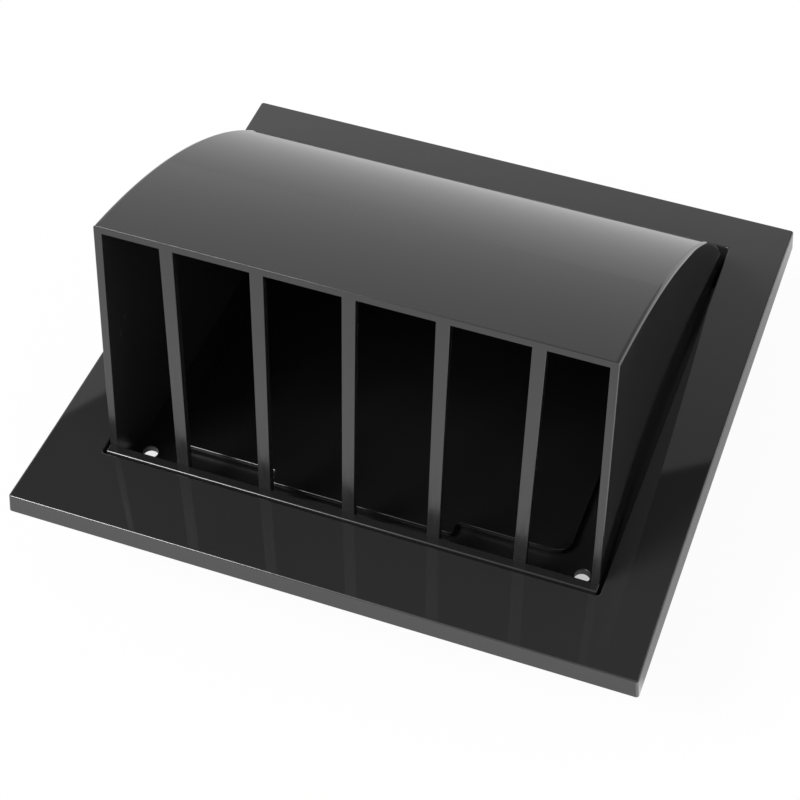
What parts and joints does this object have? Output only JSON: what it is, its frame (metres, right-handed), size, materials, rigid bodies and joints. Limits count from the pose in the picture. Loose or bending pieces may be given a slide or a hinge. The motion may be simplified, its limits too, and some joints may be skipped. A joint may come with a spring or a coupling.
{
  "type": "wall exhaust vent",
  "caption": "Outdoor wall exhaust vent: arched hood with a barred open front, square trim plate, base plate with round duct spigot, and a hinged back-draught flap.",
  "frame": {"origin": "centre of the duct and of the wall screw pattern, in the wall face under the base plate", "axes": "+Z points out of the wall, -Y is the open side that faces down when the vent is mounted, +X to the right"},
  "size_m": [0.19, 0.191, 0.1302],
  "materials": {
    "base_plastic": "moulded black plastic, satin",
    "hood_plastic": "moulded black plastic, fine satin gloss",
    "trim_plastic": "moulded black plastic, high gloss",
    "flap_plastic": "moulded black plastic, gloss"
  },
  "bodies": {
    "vent_body": {"base_plate": "base_plastic", "vent_hood": "hood_plastic", "trim_plate": "trim_plastic"},
    "damper": {"damper_flap": "flap_plastic"}
  },
  "joints": [
    {"name": "damper_hinge", "type": "hinge", "parent": "vent_body", "child": "damper", "pos_m": [0, 0.058, 0.0056], "axis": [-1, 0, 0], "range_deg": [0, 44]}
  ]
}
